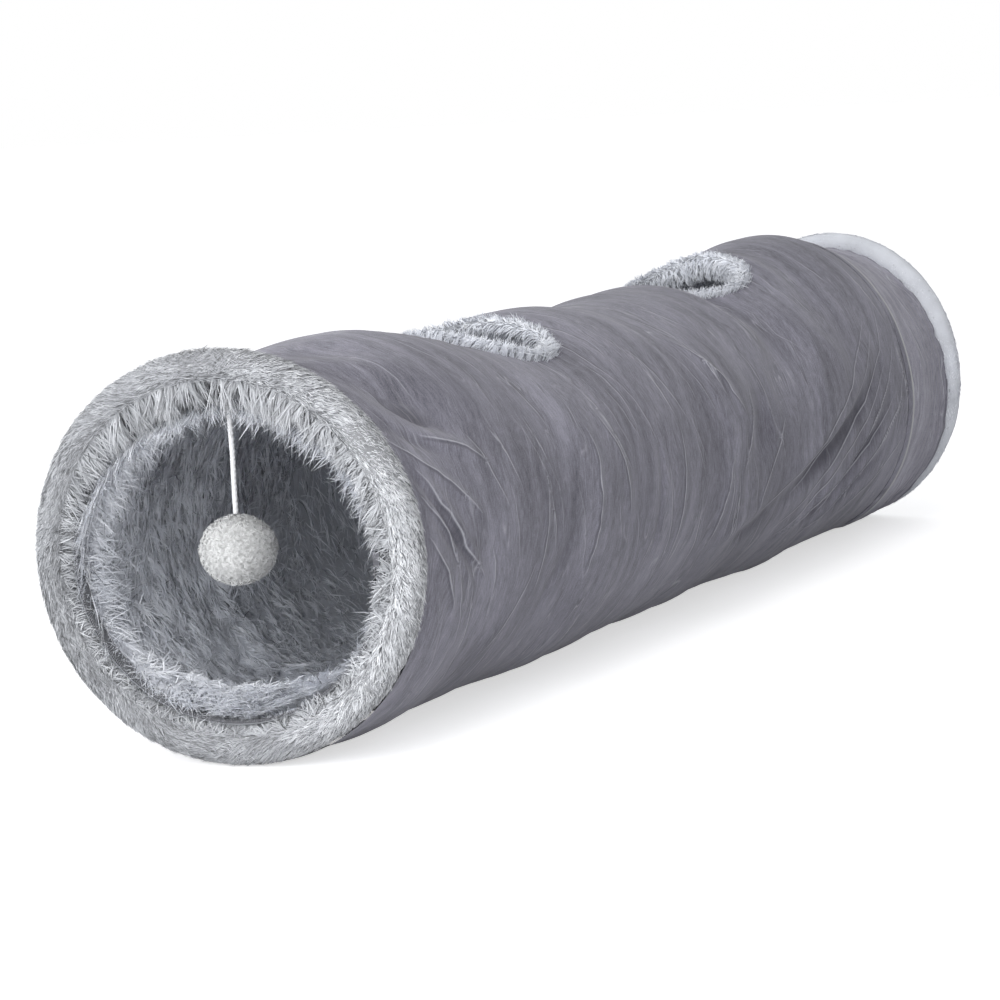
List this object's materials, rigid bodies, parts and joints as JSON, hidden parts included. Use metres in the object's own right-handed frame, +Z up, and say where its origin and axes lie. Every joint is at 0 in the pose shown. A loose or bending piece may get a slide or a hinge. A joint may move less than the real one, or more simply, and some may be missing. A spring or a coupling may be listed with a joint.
{
  "type": "cat tunnel",
  "caption": "Soft pet tunnel on spring hoops with plush mouths and lining, fur-edged peep holes in the top, a zip to join its ends into a ring, and a hanging pompom.",
  "frame": {"origin": "on the floor, under the middle of the bounding box", "axes": "+Z up, +Y along the tunnel from the mouth with the pompom to the far mouth, +X the side that the tunnel bends towards when its ends are joined"},
  "size_m": [0.3138, 1.2506, 0.3001],
  "materials": {
    "grey_suede": "brushed faux suede",
    "smooth_suede": "smooth faux suede",
    "grey_plush": "short dense plush",
    "long_pile": "long plush pile",
    "pale_plush": "long plush trim",
    "spring_steel": "round spring wire",
    "casing_tape": "woven tape",
    "white_wadding": "soft wadding",
    "zip_tape": "woven tape",
    "nylon_coil": "nylon coil",
    "dark_zip_metal": "dark plated zinc",
    "white_cord": "braided cord",
    "white_fleece": "curly fleece"
  },
  "bodies": {
    "middle_section": {"middle_skin": "grey_suede", "middle_lining": "long_pile"},
    "near_middle_ring": {"near_middle_hoop": "spring_steel", "near_middle_hoop_casing": "casing_tape"},
    "front_section": {"front_window_skin": "grey_suede", "front_window_lining": "long_pile", "front_peep_trim": "pale_plush"},
    "front_ring": {"front_hoop": "spring_steel", "front_hoop_casing": "casing_tape"},
    "near_section": {"near_skin": "grey_suede", "near_lining": "long_pile"},
    "near_mouth": {"near_rim_cover": "grey_plush", "near_rim_wadding": "white_wadding", "near_rim_hoop": "spring_steel", "near_zip_tape": "zip_tape", "near_zip_coil": "nylon_coil", "cord_tab": "casing_tape"},
    "zip_slider": {"zip_slider": "dark_zip_metal"},
    "zip_pull": {"zip_pull": "dark_zip_metal"},
    "cord_knot": {"cord_knot": "white_cord"},
    "pompom": {"pompom_cord": "white_cord", "pompom": "white_fleece"},
    "far_middle_ring": {"far_middle_hoop": "spring_steel", "far_middle_hoop_casing": "casing_tape"},
    "rear_section": {"rear_window_skin": "grey_suede", "rear_window_lining": "long_pile", "rear_peep_trim": "pale_plush"},
    "rear_ring": {"rear_hoop": "spring_steel", "rear_hoop_casing": "casing_tape"},
    "far_section": {"far_skin": "grey_suede", "far_cuff": "smooth_suede", "skin_hem": "grey_suede", "far_lining": "long_pile"},
    "far_mouth": {"far_rim_cover": "grey_plush", "far_rim_wadding": "white_wadding", "far_rim_hoop": "spring_steel", "far_zip_tape": "zip_tape", "far_zip_coil": "nylon_coil"}
  },
  "joints": [
    {"name": "far_middle_ring_bend", "type": "hinge", "parent": "middle_section", "child": "far_middle_ring", "pos_m": [-0.00099, 0.09123, 0.15], "axis": [0, 0, -1], "range_deg": [-3.63, 24.2], "deforming": ["middle_skin", "middle_lining"]},
    {"name": "rear_section_bend", "type": "hinge", "parent": "far_middle_ring", "child": "rear_section", "pos_m": [-0.00099, 0.09123, 0.15], "axis": [0, 0, -1], "range_deg": [-7.58, 50.55], "deforming": ["rear_window_skin", "rear_window_lining"]},
    {"name": "rear_ring_bend", "type": "hinge", "parent": "rear_section", "child": "rear_ring", "pos_m": [0.00354, 0.40128, 0.15], "axis": [0, 0, -1], "range_deg": [-5.29, 35.23]},
    {"name": "far_section_bend", "type": "hinge", "parent": "rear_ring", "child": "far_section", "pos_m": [0.00354, 0.40128, 0.15], "axis": [0, 0, -1], "range_deg": [-5.72, 38.11], "deforming": ["far_skin", "far_cuff", "skin_hem", "far_lining"]},
    {"name": "far_mouth_bend", "type": "hinge", "parent": "far_section", "child": "far_mouth", "pos_m": [0.00875, 0.58146, 0.15], "axis": [0, 0, -1], "range_deg": [-2.95, 19.65]},
    {"name": "near_middle_ring_bend", "type": "hinge", "parent": "middle_section", "child": "near_middle_ring", "pos_m": [-0.00099, -0.09831, 0.15], "axis": [0, 0, 1], "range_deg": [-3.93, 26.2]},
    {"name": "front_section_bend", "type": "hinge", "parent": "near_middle_ring", "child": "front_section", "pos_m": [-0.00099, -0.09831, 0.15], "axis": [0, 0, 1], "range_deg": [-7.43, 49.53], "deforming": ["front_window_skin", "front_window_lining"]},
    {"name": "front_ring_bend", "type": "hinge", "parent": "front_section", "child": "front_ring", "pos_m": [0.00365, -0.41304, 0.15], "axis": [0, 0, 1], "range_deg": [-6.78, 45.22]},
    {"name": "near_section_bend", "type": "hinge", "parent": "front_ring", "child": "near_section", "pos_m": [0.00365, -0.41304, 0.15], "axis": [0, 0, 1], "range_deg": [-4.26, 28.38], "deforming": ["near_skin", "near_lining"]},
    {"name": "near_mouth_bend", "type": "hinge", "parent": "near_section", "child": "near_mouth", "pos_m": [0.00875, -0.58854, 0.15], "axis": [0, 0, 1], "range_deg": [-3.3, 21.95]},
    {"name": "zip_slider_travel", "type": "hinge", "parent": "near_mouth", "child": "zip_slider", "pos_m": [0.00875, -0.58854, 0.14906], "axis": [-0.1564, 0.9877, 0], "range_deg": [0, 250]},
    {"name": "zip_pull_swing", "type": "hinge", "parent": "zip_slider", "child": "zip_pull", "pos_m": [0.11891, -0.57312, 0.14906], "axis": [-0.1564, 0.9877, 0], "range_deg": [0, 180]},
    {"name": "pompom_swing_through", "type": "hinge", "parent": "near_mouth", "child": "cord_knot", "pos_m": [0.0057, -0.56928, 0.25543], "axis": [0.9877, 0.1564, 0], "range_deg": [-60, 60]},
    {"name": "pompom_swing_across", "type": "hinge", "parent": "cord_knot", "child": "pompom", "pos_m": [0.0057, -0.56928, 0.25543], "axis": [0.1564, -0.9877, 0], "range_deg": [-30, 30]}
  ],
  "couplings": [
    {"joint": "far_middle_ring_bend", "follows": "rear_section_bend", "ratio": 0.47861},
    {"joint": "rear_ring_bend", "follows": "rear_section_bend", "ratio": 0.69681},
    {"joint": "far_section_bend", "follows": "rear_section_bend", "ratio": 0.75376},
    {"joint": "far_mouth_bend", "follows": "rear_section_bend", "ratio": 0.3887},
    {"joint": "near_middle_ring_bend", "follows": "rear_section_bend", "ratio": 0.51817},
    {"joint": "front_section_bend", "follows": "rear_section_bend", "ratio": 0.97974},
    {"joint": "front_ring_bend", "follows": "rear_section_bend", "ratio": 0.89445},
    {"joint": "near_section_bend", "follows": "rear_section_bend", "ratio": 0.56142},
    {"joint": "near_mouth_bend", "follows": "rear_section_bend", "ratio": 0.43404}
  ]
}
